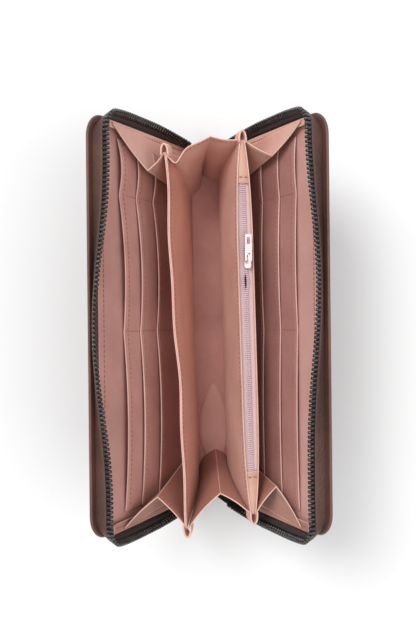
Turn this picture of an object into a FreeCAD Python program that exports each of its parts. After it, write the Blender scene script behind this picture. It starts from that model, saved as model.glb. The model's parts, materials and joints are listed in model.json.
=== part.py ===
import FreeCAD, Part
import Sketcher
import math
import os

# Zip-around wallet of soft leather, standing on its spine and opened like a book.
# +X runs across the wallet, +Y along the spine, +Z up.  The origin is the middle of the
# spine's outer face.  Every panel is drawn upright on its fold line, at x = 0, with its
# height counted from that line, and is then turned outward about the line to its rest
# angle.  Lengths are millimetres and angles are degrees.

doc = FreeCAD.newDocument("zip_around_wallet")
sheet = doc.addObject("Spreadsheet::Sheet", "sizes")

SIZES = {
    # outer case
    "wallet_length": 195,
    "cover_height": 96,
    "cover_foot": 0.6,
    "corner_radius": 12,
    "leather": 1.4,
    "board": 0.8,
    "board_inset": 3.8,
    "lining": 0.6,
    "lining_inset": 4.4,
    "fold_level": 3,
    "spine_half": 9.5,
    "spine_lining_half": 4.4,
    "spine_lining_thick": 0.6,
    "end_tab_width": 8,
    "end_tab_height": 3.2,
    "end_tab_thick": 1.2,
    # side wall and main zip
    "wall_inset": 2.2,
    "wall_thick": 1.2,
    "wall_depth": 4,
    "wall_foot": 2,
    "tape_inset": 3.4,
    "tape_thick": 0.5,
    "tape_start": 2.2,
    "tape_end": 6.8,
    "tooth_reach": 2.5,
    "tooth_across": 2.8,
    "tooth_along": 1.2,
    "tooth_pitch": 2.2,
    "teeth_foot": 19,
    "stop_along": 3,
    "stop_gap": 0.3,
    # main slider and its pull
    "slider_length": 10,
    "slider_width": 7.6,
    "slider_level": 6.5,
    "slider_gap": 3.6,
    "slider_plate": 1.1,
    "slider_post": 2.4,
    "slider_post_level": 0.6,
    "bail_width": 1.6,
    "bail_stand": 1.2,
    "bail_length": 6,
    "bail_depth": 3.4,
    "bail_sink": 0.2,
    "bail_bar": 1.2,
    "bail_slot_depth": 2.4,
    "pull_length": 9.8,
    "pull_width": 5,
    "pull_thick": 1,
    "pull_clearance": 0.4,
    "pull_eye_bar": 0.8,
    "pull_eye_reach": 3.8,
    "pull_eye_lift": 0.1,
    "pull_corner": 0.7,
    # card pockets
    "pocket_thick": 0.5,
    "pocket_half": 88.5,
    "pocket_foot": 9,
    "pocket_rim_1": 73,
    "pocket_rim_2": 59,
    "pocket_rim_3": 44,
    # dividers
    "divider_base": 5.2,
    "divider_half": 90.6,
    "divider_foot": 0.5,
    "divider_height": 62,
    "divider_ply": 0.6,
    "rim_tab_length": 4.5,
    "rim_tab_width": 3.4,
    "rim_tab_height": 5,
    "rim_tab_wall": 0.7,
    # coin pocket in the right divider
    "coin_half_top": 2,
    "coin_half_foot": 0.7,
    "coin_tape_thick": 0.4,
    "coin_tape_level": 60.7,
    "coin_tape_clearance": 0.1,
    "coin_zip_half": 72,
    "coin_zip_slit": 0.1,
    "coin_coil_radius": 0.45,
    "coin_coil_gap": 0.02,
    "coin_bag_half": 80,
    "coin_bag_foot": 12,
    "coin_bag_thick": 0.3,
    "coin_bag_gap": 1,
    "coin_end_length": 18,
    "coin_end_clearance": 0.15,
    "coin_end_gap": 0.5,
    "coin_slider_length": 8,
    "coin_slider_width": 3.2,
    "coin_slider_thick": 1.2,
    "coin_slider_gap": 0.1,
    "coin_slider_place": 31,
    "coin_bail_width": 1,
    "coin_bail_stand": 1.1,
    "coin_bail_length": 4.4,
    "coin_bail_rise": 2.8,
    "coin_bail_sink": 0.1,
    "coin_bail_bar": 0.8,
    "coin_slot_rise": 2.2,
    "coin_pull_length": 13,
    "coin_pull_width": 3.4,
    "coin_pull_thick": 0.8,
    "coin_pull_eye_bar": 0.8,
    "coin_pull_eye_length": 3.3,
    "coin_pull_eye_lift": 0.2,
    "coin_pull_corner": 0.6,
    "coin_pull_hole": 1.6,
    "coin_pull_hole_margin": 2.4,
    "coin_pull_clearance": 0.3,
    # gussets
    "gusset_end": 90.4,
    "gusset_thick": 0.3,
    "gusset_foot": 14,
    "gusset_crease_rise": 46,
    "gusset_cover_rise": 70,
    "gusset_divider_rise": 47,
    "gusset_hinge_gap": 0.8,
    "gusset_cover_stand": 3.15,
    "gusset_divider_stand": 0.85,
    "gusset_coin_stand": 1.24,
    "gusset_coin_slant": 1.2,
    "side_left_top": 21,
    "side_left_foot": 3.2,
    "centre_top": 23,
    "centre_foot": 7.6,
    "side_right_top": 20,
    "side_right_foot": 3.0,
    # rest angles from upright, and of each gusset leaf from its panel
    "cover_angle": 27,
    "left_divider_angle": 10.4,
    "right_divider_angle": 12.5,
    "side_left_leaf_angle": 24.5,
    "centre_leaf_angle": 41.5,
    "side_right_leaf_angle": 20.4,
}

for row, (alias, value) in enumerate(SIZES.items(), start=1):
    sheet.set("A%d" % row, alias)
    sheet.set("B%d" % row, str(value))
    sheet.setAlias("B%d" % row, alias)
doc.recompute()

PARTS = []
CORNER_SHARE = 0.3  # a slider plate's corner radius as a share of its width
CUT_OVER = 0.5  # how far a through cut starts and ends outside the metal
FULL_LENGTH = 0.9  # share of a side that an edge must span to count as running along it
TOUCHING = 1e-4
FILLET_MARGIN = 0.01  # kept off a fillet that would otherwise use up the whole side


def value(expression):
    """The number that an expression on the sheet stands for."""
    return float(sheet.evalExpression(expression))


def long_edges(shape, axis, length):
    """The edges of a shape that run its whole length along one axis."""
    spans = [(edge, getattr(edge.BoundBox, axis + "Length")) for edge in shape.Edges]
    return [edge for edge, span in spans if span > length * FULL_LENGTH]


def side_sign(side):
    """The left side is at -X, so inward is +1 there and -1 on the right."""
    return 1 if side == "left" else -1


def new_body(name):
    body = doc.addObject("PartDesign::Body", name)
    body.Label = name
    PARTS.append(body)
    return body


def origin_plane(body, role):
    return next(item for item in body.Origin.OriginFeatures if item.Role == role)


def fixed_coordinate(sketch, kind, axis, corner, expression):
    """Hold one coordinate of a sketch corner at an expression on the sheet."""
    if abs(value(expression)) < 1e-9:
        return sketch.addConstraint(Sketcher.Constraint("PointOnObject", corner, 1, axis))
    index = sketch.addConstraint(
        Sketcher.Constraint(kind, -1, 1, corner, 1, value(expression))
    )
    sketch.setExpression("Constraints[%d]" % index, sheet_words(expression))
    return index


def sheet_words(expression):
    """The same expression as another object of the document has to write it."""
    words = expression.replace("(", " ( ").replace(")", " ) ").split()
    return " ".join("sizes." + word if word in SIZES else word for word in words)


def outline(body, plane, corners, offset="0"):
    """A closed polygon on an origin plane of the body, moved along the plane's normal."""
    sketch = body.newObject("Sketcher::SketchObject", body.Name + "_outline")
    sketch.AttachmentSupport = [(origin_plane(body, plane), "")]
    sketch.MapMode = "FlatFace"
    sketch.setExpression("AttachmentOffset.Base.z", sheet_words(offset))
    points = [FreeCAD.Vector(value(across), value(up), 0) for across, up in corners]
    for index, point in enumerate(points):
        following = points[(index + 1) % len(points)]
        sketch.addGeometry(Part.LineSegment(point, following), False)
    for index in range(len(points)):
        following = (index + 1) % len(points)
        sketch.addConstraint(Sketcher.Constraint("Coincident", index, 2, following, 1))
    for index, (across, up) in enumerate(corners):
        fixed_coordinate(sketch, "DistanceX", -2, index, across)
        fixed_coordinate(sketch, "DistanceY", -1, index, up)
    return sketch


def pad(body, sketch, length, both_ways=False):
    feature = body.newObject("PartDesign::Pad", body.Name + "_pad")
    feature.Profile = sketch
    feature.setExpression("Length", sheet_words(length))
    if both_ways:
        feature.SideType = "Symmetric"
    doc.recompute()
    return feature


def mouth_corners(body, height, radius):
    """Round the two edges of the newest feature that lie across the panel at a height."""
    base = body.Tip
    names = []
    for index, edge in enumerate(base.Shape.Edges, start=1):
        box = edge.BoundBox
        level = box.ZLength < 1e-6 and abs(box.ZMin - height) < 1e-4
        if level and box.YLength < 1e-6 and box.XLength > 1e-3:
            names.append("Edge%d" % index)
    fillet = body.newObject("PartDesign::Fillet", body.Name + "_corners")
    fillet.Base = (base, names)
    fillet.setExpression("Radius", sheet_words(radius))
    doc.recompute()
    return fillet


def panel(name, side, half, foot, rim, start, thick, radius=None):
    """A flat panel: a rectangle from foot to rim, start and thick counted inward."""
    body = new_body(name)
    corners = [
        ("- " + half, foot),
        (half, foot),
        (half, rim),
        ("- " + half, rim),
    ]
    if side == "right":
        offset = "- ( %s ) - ( %s )" % (start, thick)
    else:
        offset = start
    pad(body, outline(body, "YZ_Plane", corners, offset), thick)
    if radius:
        mouth_corners(body, value(rim), radius)
    return body


def u_strip(name, side, inset, thick, foot, start, end):
    """A strip that runs up one end, along the mouth and down the other end."""
    depth = "( %s ) - ( %s )" % (end, start)
    half = "( wallet_length / 2 - %s )" % inset
    rim = "cover_height - %s" % inset
    body = panel(name, side, half, foot, rim, start, depth)
    inner_half = "( wallet_length / 2 - %s - %s )" % (inset, thick)
    inner_rim = "cover_height - %s - %s" % (inset, thick)
    inner_corners = [
        ("- " + inner_half, foot),
        (inner_half, foot),
        (inner_half, inner_rim),
        ("- " + inner_half, inner_rim),
    ]
    if side == "right":
        offset = "- ( %s )" % end
    else:
        offset = start
    sketch = outline(body, "YZ_Plane", inner_corners, offset)
    before = body.Tip.Shape.Volume
    pocket = body.newObject("PartDesign::Pocket", name + "_hollow")
    pocket.Profile = sketch
    pocket.setExpression("Length", sheet_words(depth))
    pocket.Reversed = True
    doc.recompute()
    if pocket.Shape.Volume > before * 0.5:
        raise RuntimeError(name + ": the hollow was not cut")
    mouth_corners(body, value(inner_rim), "corner_radius - %s - %s" % (inset, thick))
    mouth_corners(body, value(rim), "corner_radius - %s" % inset)
    return body


# ---------------------------------------------------------------- placements


def fold_placement(base, angle, side):
    """Stand a panel on its fold line and turn it outward by its rest angle."""
    sign = side_sign(side)
    line = FreeCAD.Vector(-sign * value(base), 0, value("fold_level"))
    turn = FreeCAD.Rotation(FreeCAD.Vector(0, 1, 0), -sign * value(angle))
    return FreeCAD.Placement(line, turn)


COVER = {side: fold_placement("spine_half", "cover_angle", side) for side in ("left", "right")}
DIVIDER = {
    "left": fold_placement("divider_base", "left_divider_angle", "left"),
    "right": fold_placement("divider_base", "right_divider_angle", "right"),
}

# ---------------------------------------------------------------- covers


def tooth_places(side):
    """Middle points and headings of the teeth along the strip's three sides."""
    inset = value("tape_inset") + value("tape_thick") / 2
    half = value("wallet_length") / 2 - inset
    rim = value("cover_height") - inset
    radius = value("corner_radius") - inset
    foot = value("teeth_foot")
    leg = rim - radius - foot
    arc = radius * math.pi / 2
    run = 2 * (half - radius)
    total = 2 * leg + 2 * arc + run
    count = int(total / value("tooth_pitch"))
    places = []
    for index in range(count):
        along = (index + 0.5) * total / count
        mirrored = along > total / 2
        if mirrored:
            along = total - along
        if along < leg:
            place = (half, foot + along, 90)
        elif along < leg + arc:
            turn = (along - leg) / radius
            place = (
                half - radius + radius * math.cos(turn),
                rim - radius + radius * math.sin(turn),
                90 + math.degrees(turn),
            )
        else:
            place = (half - radius - (along - leg - arc), rim, 180)
        if mirrored:
            place = (-place[0], place[1], 180 - place[2])
        places.append(place)
    return places


def teeth(side):
    """One zip half's metal teeth, clamped on the free edge of its tape."""
    sign = side_sign(side)
    reach = value("tooth_reach")
    along = value("tooth_along")
    across = value("tooth_across")
    start = value("tape_end") if side == "left" else -value("tape_end") - reach
    solids = []
    for centre_y, centre_z, heading in tooth_places(side):
        tooth = Part.makeBox(reach, along, across, FreeCAD.Vector(start, -along / 2, -across / 2))
        tooth.Placement = FreeCAD.Placement(
            FreeCAD.Vector(0, centre_y, centre_z),
            FreeCAD.Rotation(FreeCAD.Vector(1, 0, 0), heading),
        )
        solids.append(tooth)
    feature = doc.addObject("Part::Feature", "zip_teeth_" + side)
    feature.Label = "zip_teeth_" + side
    feature.Shape = Part.makeCompound(solids)
    PARTS.append(feature)
    return feature


def end_stops(side):
    """A small metal stop at each end of one row of teeth."""
    reach = value("tooth_reach")
    along = value("stop_along")
    across = value("tooth_across")
    start = value("tape_end") if side == "left" else -value("tape_end") - reach
    middle = value("wallet_length / 2 - tape_inset - tape_thick / 2")
    foot = value("teeth_foot - stop_along - stop_gap")
    corner = FreeCAD.Vector(start, middle - across / 2, foot)
    opposite = FreeCAD.Vector(start, -middle - across / 2, foot)
    solids = [Part.makeBox(reach, across, along, place) for place in (corner, opposite)]
    feature = doc.addObject("Part::Feature", "zip_stops_" + side)
    feature.Label = "zip_stops_" + side
    feature.Shape = Part.makeCompound(solids)
    PARTS.append(feature)
    return feature


def cover(side):
    """Leather, stiffening board, lining, three card pockets, side wall and half a zip."""
    pieces = [
        panel(
            "cover_leather_" + side, side, "( wallet_length / 2 )", "cover_foot",
            "cover_height", "- leather", "leather", "corner_radius",
        ),
        panel(
            "cover_board_" + side, side, "( wallet_length / 2 - board_inset )", "cover_foot",
            "cover_height - board_inset", "0", "board", "corner_radius - board_inset",
        ),
        panel(
            "lining_panel_" + side, side, "( wallet_length / 2 - lining_inset )", "cover_foot",
            "cover_height - lining_inset", "board", "lining", "corner_radius - lining_inset",
        ),
    ]
    for number in (1, 2, 3):
        start = "board + lining + %d * pocket_thick" % (number - 1)
        pieces.append(
            panel(
                "card_pocket_%s_%d" % (side, number), side, "pocket_half", "pocket_foot",
                "pocket_rim_%d" % number, start, "pocket_thick",
            )
        )
    pieces.append(
        u_strip("side_wall_" + side, side, "wall_inset", "wall_thick", "wall_foot", "0", "wall_depth")
    )
    pieces.append(
        u_strip(
            "zip_tape_" + side, side, "tape_inset", "tape_thick", "wall_foot",
            "tape_start", "tape_end",
        )
    )
    pieces.append(teeth(side))
    pieces.append(end_stops(side))
    for piece in pieces:
        piece.Placement = COVER[side]


# ---------------------------------------------------------------- spine


def spine():
    """The leather strip that the wallet stands on, its lining, and the zip's end tabs."""
    leather = new_body("spine_leather")
    corners = [
        ("- spine_half", "- wallet_length / 2"),
        ("spine_half", "- wallet_length / 2"),
        ("spine_half", "wallet_length / 2"),
        ("- spine_half", "wallet_length / 2"),
    ]
    pad(leather, outline(leather, "XY_Plane", corners), "leather")
    lining = new_body("spine_lining")
    corners = [
        ("- spine_lining_half", "- gusset_end"),
        ("spine_lining_half", "- gusset_end"),
        ("spine_lining_half", "gusset_end"),
        ("- spine_lining_half", "gusset_end"),
    ]
    pad(lining, outline(lining, "XY_Plane", corners, "leather"), "spine_lining_thick")
    for name, sign in (("zip_end_tab_top", ""), ("zip_end_tab_bottom", "- ")):
        tab = new_body(name)
        middle = "( wallet_length / 2 - wall_inset - end_tab_thick / 2 )"
        edge = "end_tab_thick / 2"
        low = "%s%s - %s" % (sign, middle, edge)
        high = "%s%s + %s" % (sign, middle, edge)
        corners = [
            ("- end_tab_width / 2", low),
            ("end_tab_width / 2", low),
            ("end_tab_width / 2", high),
            ("- end_tab_width / 2", high),
        ]
        pad(tab, outline(tab, "XY_Plane", corners, "leather"), "end_tab_height")


# ---------------------------------------------------------------- main slider and pull


def main_slider():
    """Two plates joined by a post, straddling the chain, with a bail for the pull."""
    length = value("slider_length")
    width = value("slider_width")
    gap = value("slider_gap")
    plate = value("slider_plate")
    post = value("slider_post")
    level = value("slider_level")
    middle = value("wallet_length / 2 - tape_inset - tape_thick / 2")
    plates = []
    for start in (-gap / 2 - plate, gap / 2):
        flat = Part.makeBox(width, plate, length, FreeCAD.Vector(-width / 2, start, 0))
        plates.append(flat.makeFillet(width * CORNER_SHARE, long_edges(flat, "Y", plate)))
    post_corner = FreeCAD.Vector(-post / 2, -(gap + plate) / 2, value("slider_post_level"))
    pillar = Part.makeBox(post, gap + plate, post, post_corner)
    bail_out = gap / 2 + plate
    bail_width = value("bail_width")
    bail_length = value("bail_length")
    bail_level = (length - bail_length) / 2
    bar = value("bail_bar")
    bail = Part.makeBox(
        bail_width, value("bail_depth"), bail_length,
        FreeCAD.Vector(-bail_width / 2, bail_out - value("bail_sink"), bail_level),
    )
    slot = Part.makeBox(
        bail_width, value("bail_slot_depth"), bail_length - 2 * bar,
        FreeCAD.Vector(-bail_width / 2, bail_out, bail_level + bar),
    )
    shape = plates[0].multiFuse([plates[1], pillar, bail]).cut(slot).removeSplitter()
    slider = doc.addObject("Part::Feature", "zip_slider")
    slider.Label = "zip_slider"
    slider.Shape = shape
    slider.Placement = FreeCAD.Placement(FreeCAD.Vector(0, middle, level), FreeCAD.Rotation())
    PARTS.append(slider)


def main_pull():
    """A short metal pull hanging from the bail; its eye passes round the bail's bar."""
    length = value("pull_length")
    width = value("pull_width")
    thick = value("pull_thick")
    chain = "wallet_length / 2 - tape_inset - tape_thick / 2"
    hinge_out = value(chain + " + slider_gap / 2 + slider_plate + bail_stand")
    hinge_up = value("slider_level + slider_length / 2")
    top = value("pull_eye_bar + pull_eye_lift")
    blank = Part.makeBox(width, thick, length, FreeCAD.Vector(-width / 2, -thick / 2, top - length))
    blank = blank.makeFillet(value("pull_corner"), long_edges(blank, "Y", thick))
    eye_width = value("bail_width + 2 * pull_clearance")
    eye_reach = value("pull_eye_reach")
    eye = Part.makeBox(
        eye_width, thick + 2 * CUT_OVER, eye_reach + value("pull_eye_lift"),
        FreeCAD.Vector(-eye_width / 2, -thick / 2 - CUT_OVER, -eye_reach),
    )
    pull = doc.addObject("Part::Feature", "zip_pull")
    pull.Label = "zip_pull"
    pull.Shape = blank.cut(eye)
    pull.Placement = FreeCAD.Placement(
        FreeCAD.Vector(0, hinge_out, hinge_up), FreeCAD.Rotation()
    )
    PARTS.append(pull)


# ---------------------------------------------------------------- dividers


def rim_tabs(side, stand):
    """A folded loop of lining at each end of a divider's rim."""
    length = value("rim_tab_length")
    width = value("rim_tab_width")
    height = value("rim_tab_height")
    wall = value("rim_tab_wall")
    low = value("divider_height") - height
    solids = []
    for end in (1, -1):
        start = value("divider_half") if end > 0 else -value("divider_half") - length
        block = Part.makeBox(width, length, height, FreeCAD.Vector(-width / 2, start, low))
        outer_y = start + length if end > 0 else start
        edges = [
            edge for edge in long_edges(block, "Z", height)
            if abs(edge.BoundBox.YMin - outer_y) < TOUCHING
        ]
        block = block.makeFillet(width / 2 - FILLET_MARGIN, edges)
        hole_start = start if end > 0 else start + wall
        hole = Part.makeBox(
            width - 2 * wall, length - wall, height,
            FreeCAD.Vector(-width / 2 + wall, hole_start, low),
        )
        solids.extend(block.cut(hole).Solids)
    feature = doc.addObject("Part::Feature", "rim_tabs_" + side)
    feature.Label = "rim_tabs_" + side
    feature.Shape = Part.makeCompound(solids)
    feature.Placement = DIVIDER[side]
    PARTS.append(feature)


def left_divider():
    """Two plies of lining leather sewn back to back."""
    for name, start in (("front", "0"), ("back", "- divider_ply")):
        ply = panel(
            "divider_left_" + name, "left", "divider_half", "divider_foot",
            "divider_height", start, "divider_ply",
        )
        ply.Placement = DIVIDER["left"]


def coin_wall(name, sign):
    """One wall of the coin pocket, leaning out from foot to rim."""
    body = new_body(name)
    corners = [
        ("%s coin_half_foot" % sign, "divider_foot"),
        ("%s ( coin_half_foot - divider_ply )" % sign, "divider_foot"),
        ("%s ( coin_half_top - divider_ply )" % sign, "divider_height"),
        ("%s coin_half_top" % sign, "divider_height"),
    ]
    pad(body, outline(body, "XZ_Plane", corners), "2 * divider_half", both_ways=True)
    body.Placement = DIVIDER["right"]


def coin_strip(name, sign, near, far, low, high, half):
    """A straight strip along the pocket's mouth."""
    body = new_body(name)
    corners = [
        ("%s ( %s )" % (sign, near), low),
        ("%s ( %s )" % (sign, far), low),
        ("%s ( %s )" % (sign, far), high),
        ("%s ( %s )" % (sign, near), high),
    ]
    pad(body, outline(body, "XZ_Plane", corners), "2 * " + half, both_ways=True)
    body.Placement = DIVIDER["right"]


def coin_coils():
    """The two nylon coils, side by side along the middle of the mouth."""
    for name, sign in (("coin_coil_front", -1), ("coin_coil_back", 1)):
        coil = doc.addObject("Part::Cylinder", name)
        coil.Label = name
        coil.setExpression("Radius", "sizes.coin_coil_radius")
        coil.setExpression("Height", "2 * sizes.coin_zip_half")
        doc.recompute()
        across = sign * value("coin_coil_radius + coin_coil_gap")
        up = value("coin_tape_level + coin_tape_thick + coin_coil_radius")
        lie = FreeCAD.Placement(
            FreeCAD.Vector(across, value("coin_zip_half"), up),
            FreeCAD.Rotation(FreeCAD.Vector(1, 0, 0), 90),
        )
        coil.Placement = DIVIDER["right"].multiply(lie)
        PARTS.append(coil)


def coin_ends():
    """Tan leather ends closing the mouth past each end of the zip."""
    thick = value("coin_tape_thick")
    width = value("2 * ( coin_half_top - divider_ply - coin_end_clearance )")
    length = value("coin_end_length")
    solids = []
    for end in (1, -1):
        near = value("coin_zip_half + coin_end_gap")
        start = near if end > 0 else -near - length
        solids.append(
            Part.makeBox(
                width, length, thick,
                FreeCAD.Vector(-width / 2, start, value("coin_tape_level + coin_tape_thick")),
            )
        )
    feature = doc.addObject("Part::Feature", "coin_zip_ends")
    feature.Label = "coin_zip_ends"
    feature.Shape = Part.makeCompound(solids)
    feature.Placement = DIVIDER["right"]
    PARTS.append(feature)


def coin_slider():
    """The small slider, riding just above the coils, and its flat pull with a square eye."""
    length = value("coin_slider_length")
    width = value("coin_slider_width")
    thick = value("coin_slider_thick")
    bottom = value("coin_tape_level + coin_tape_thick + 2 * coin_coil_radius + coin_slider_gap")
    place = value("coin_slider_place")
    plate = Part.makeBox(width, length, thick, FreeCAD.Vector(-width / 2, -length / 2, 0))
    plate = plate.makeFillet(width * CORNER_SHARE, long_edges(plate, "Z", thick))
    bail_width = value("coin_bail_width")
    bail_length = value("coin_bail_length")
    bail_sink = value("coin_bail_sink")
    bail = Part.makeBox(
        bail_width, bail_length, value("coin_bail_rise") + bail_sink,
        FreeCAD.Vector(-bail_width / 2, -bail_length / 2, thick - bail_sink),
    )
    slot_length = bail_length - 2 * value("coin_bail_bar")
    slot = Part.makeBox(
        bail_width, slot_length, value("coin_slot_rise"),
        FreeCAD.Vector(-bail_width / 2, -slot_length / 2, thick),
    )
    shape = plate.fuse(bail).cut(slot).removeSplitter()
    slider = doc.addObject("Part::Feature", "coin_slider")
    slider.Label = "coin_slider"
    slider.Shape = shape
    lie = FreeCAD.Placement(FreeCAD.Vector(0, place, bottom), FreeCAD.Rotation())
    slider.Placement = DIVIDER["right"].multiply(lie)
    PARTS.append(slider)

    pull_length = value("coin_pull_length")
    pull_width = value("coin_pull_width")
    pull_thick = value("coin_pull_thick")
    clearance = value("coin_pull_clearance")
    blank = Part.makeBox(
        pull_width, pull_length, pull_thick,
        FreeCAD.Vector(-pull_width / 2, -value("coin_pull_eye_bar"), -pull_thick / 2),
    )
    blank = blank.makeFillet(value("coin_pull_corner"), long_edges(blank, "Z", pull_thick))
    cut_depth = pull_thick + 2 * CUT_OVER
    eye = Part.makeBox(
        bail_width + 2 * clearance, value("coin_pull_eye_length"), cut_depth,
        FreeCAD.Vector(-bail_width / 2 - clearance, -value("coin_pull_eye_lift"), -cut_depth / 2),
    )
    hole_side = value("coin_pull_hole")
    hole_start = pull_length - value("coin_pull_hole_margin") - 2 * hole_side
    hole = Part.makeBox(
        hole_side, 2 * hole_side, cut_depth,
        FreeCAD.Vector(-hole_side / 2, hole_start, -cut_depth / 2),
    )
    pull = doc.addObject("Part::Feature", "coin_pull")
    pull.Label = "coin_pull"
    pull.Shape = blank.cut(eye).cut(hole)
    lie = FreeCAD.Placement(
        FreeCAD.Vector(0, place, bottom + thick + value("coin_bail_stand")), FreeCAD.Rotation()
    )
    pull.Placement = DIVIDER["right"].multiply(lie)
    PARTS.append(pull)


def right_divider():
    coin_wall("coin_wall_front", "-")
    coin_wall("coin_wall_back", "")
    edge = "coin_half_top - divider_ply - coin_tape_clearance"
    for name, sign in (("coin_tape_front", "-"), ("coin_tape_back", "")):
        coin_strip(
            name, sign, "coin_zip_slit", edge, "coin_tape_level",
            "coin_tape_level + coin_tape_thick", "coin_zip_half",
        )
    body = new_body("coin_bag")
    corners = [
        ("- coin_bag_thick / 2", "coin_bag_foot"),
        ("coin_bag_thick / 2", "coin_bag_foot"),
        ("coin_bag_thick / 2", "coin_tape_level - coin_bag_gap"),
        ("- coin_bag_thick / 2", "coin_tape_level - coin_bag_gap"),
    ]
    pad(body, outline(body, "XZ_Plane", corners), "2 * coin_bag_half", both_ways=True)
    body.Placement = DIVIDER["right"]
    coin_coils()
    coin_ends()
    coin_slider()


# ---------------------------------------------------------------- gussets


def leaf(name, frame, stand, slant, hinge_rise, top, foot, angle, toward, end):
    """One leaf of a folded gusset: hinged on a panel's end edge, cut along the crease.

    toward is +1 where the leaf swings to +X and -1 where it swings to -X; end is +1 at
    the wallet's +Y end and -1 at the other.
    """
    body = new_body(name)
    corners = [
        ("- gusset_hinge_gap", "0"),
        ("- %s" % foot, "0"),
        ("- %s" % top, "gusset_crease_rise"),
        ("- gusset_hinge_gap", hinge_rise),
    ]
    if end < 0:
        corners = [(across[2:], up) for across, up in corners]
    sketch = outline(body, "YZ_Plane", corners)
    pad(body, sketch, "gusset_thick", both_ways=True)
    lean = FreeCAD.Rotation(FreeCAD.Vector(0, 1, 0), toward * value(slant))
    edge = FreeCAD.Placement(
        FreeCAD.Vector(toward * value(stand), end * value("gusset_end"), value("gusset_foot")), lean
    )
    swing = FreeCAD.Placement(
        FreeCAD.Vector(0, 0, 0),
        FreeCAD.Rotation(FreeCAD.Vector(0, 0, 1), toward * end * value(angle)),
    )
    body.Placement = frame.multiply(edge).multiply(swing)


def gussets():
    """Three folded gussets at each end, two leaves to each."""
    leaves = (
        ("gusset_side_left_cover", COVER["left"], "gusset_cover_stand", "0", "gusset_cover_rise",
         "side_left_top", "side_left_foot", "side_left_leaf_angle", 1),
        ("gusset_side_left_divider", DIVIDER["left"], "gusset_divider_stand", "0",
         "gusset_divider_rise", "side_left_top", "side_left_foot", "side_left_leaf_angle", -1),
        ("gusset_centre_left", DIVIDER["left"], "gusset_divider_stand", "0",
         "gusset_divider_rise", "centre_top", "centre_foot", "centre_leaf_angle", 1),
        ("gusset_centre_right", DIVIDER["right"], "gusset_coin_stand", "gusset_coin_slant",
         "gusset_divider_rise", "centre_top", "centre_foot", "centre_leaf_angle", -1),
        ("gusset_side_right_divider", DIVIDER["right"], "gusset_coin_stand", "gusset_coin_slant",
         "gusset_divider_rise", "side_right_top", "side_right_foot", "side_right_leaf_angle", 1),
        ("gusset_side_right_cover", COVER["right"], "gusset_cover_stand", "0",
         "gusset_cover_rise", "side_right_top", "side_right_foot", "side_right_leaf_angle", -1),
    )
    for end_name, end in (("top", 1), ("bottom", -1)):
        for name, frame, stand, slant, rise, top, foot, angle, toward in leaves:
            leaf("%s_%s" % (name, end_name), frame, stand, slant, rise, top, foot, angle, toward, end)


spine()
for side in ("left", "right"):
    cover(side)
left_divider()
right_divider()
rim_tabs("left", "divider_ply")
rim_tabs("right", "coin_half_top")
main_slider()
main_pull()
gussets()
doc.recompute()

for item in doc.Objects:
    if "Invalid" in item.State or "Error" in item.State:
        raise RuntimeError("%s failed: %s" % (item.Name, item.State))
for piece in PARTS:
    if piece.Shape.isNull() or not piece.Shape.isValid():
        raise RuntimeError("%s has no sound shape" % piece.Label)

os.makedirs("parts", exist_ok=True)
for piece in PARTS:
    piece.Shape.exportStep("parts/%s.step" % piece.Label)
print("%d nodes written" % len(PARTS))
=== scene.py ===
import json
import math

import bpy
import numpy as np
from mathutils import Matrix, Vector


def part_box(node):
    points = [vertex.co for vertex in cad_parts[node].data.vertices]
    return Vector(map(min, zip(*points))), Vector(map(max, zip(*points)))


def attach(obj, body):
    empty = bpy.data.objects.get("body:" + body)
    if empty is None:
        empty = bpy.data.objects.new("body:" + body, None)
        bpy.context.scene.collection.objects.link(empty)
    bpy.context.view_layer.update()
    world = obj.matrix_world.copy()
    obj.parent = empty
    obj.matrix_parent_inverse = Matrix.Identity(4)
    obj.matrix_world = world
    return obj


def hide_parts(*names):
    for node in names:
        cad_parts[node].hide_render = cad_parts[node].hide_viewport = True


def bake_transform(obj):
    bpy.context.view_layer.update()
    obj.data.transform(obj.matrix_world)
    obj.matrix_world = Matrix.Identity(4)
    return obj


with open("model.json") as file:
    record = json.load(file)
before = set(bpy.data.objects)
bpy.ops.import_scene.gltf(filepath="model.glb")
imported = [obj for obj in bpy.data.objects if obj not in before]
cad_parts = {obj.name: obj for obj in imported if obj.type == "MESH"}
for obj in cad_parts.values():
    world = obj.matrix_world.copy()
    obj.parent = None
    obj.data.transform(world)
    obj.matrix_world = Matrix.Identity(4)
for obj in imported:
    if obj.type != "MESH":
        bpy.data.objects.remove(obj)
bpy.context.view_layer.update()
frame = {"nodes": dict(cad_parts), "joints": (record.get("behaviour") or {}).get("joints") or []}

nodes = frame["nodes"]
joint = {each["name"]: each for each in frame["joints"]}
MM = 0.001
SIDES = {"left": -1, "right": 1}
ENDS = {"top": 1, "bottom": -1}


# ---------------------------------------------------------------- case leather
# Two skins of soft brown leather wrap the covers and meet under the spine. Each is cut from one
# hide with round corners at the mouth, turned round the fold of the spine and burnished at its edge.

COVER_LEAN = math.radians(27)
COVER_BASE = abs(joint["cover_left_fold"]["pos_m"][0])
FOLD_LEVEL = joint["cover_left_fold"]["pos_m"][2]
CASE_THICK = 1.4 * MM
CASE_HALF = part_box("cover_leather_left")[1][1]
CASE_RISE = 97.3 * MM
CORNER_RADIUS = 12 * MM
SPINE_FLAT = 8.6 * MM
CASE_CROWN = 0.5 * MM
CROWN_FOOT, CROWN_REACH = 6 * MM, 80 * MM
BEND_FOOT, BEND_OUT, BEND_BACK = 4 * MM, 2.6 * MM, 1.6 * MM


def on_cover(side, inward, along, rise):
    """A cover's point: rise climbs the panel from its fold, inward stands off its inner face, along is Y.

    Both turn outward by the lean: X = base - inward cos + rise sin, Z = level + inward sin + rise cos.
    """
    across = COVER_BASE - inward * math.cos(COVER_LEAN) + rise * math.sin(COVER_LEAN)
    level = FOLD_LEVEL + inward * math.sin(COVER_LEAN) + rise * math.cos(COVER_LEAN)
    return np.stack(np.broadcast_arrays(SIDES[side] * across, along, level), axis=-1)


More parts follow.
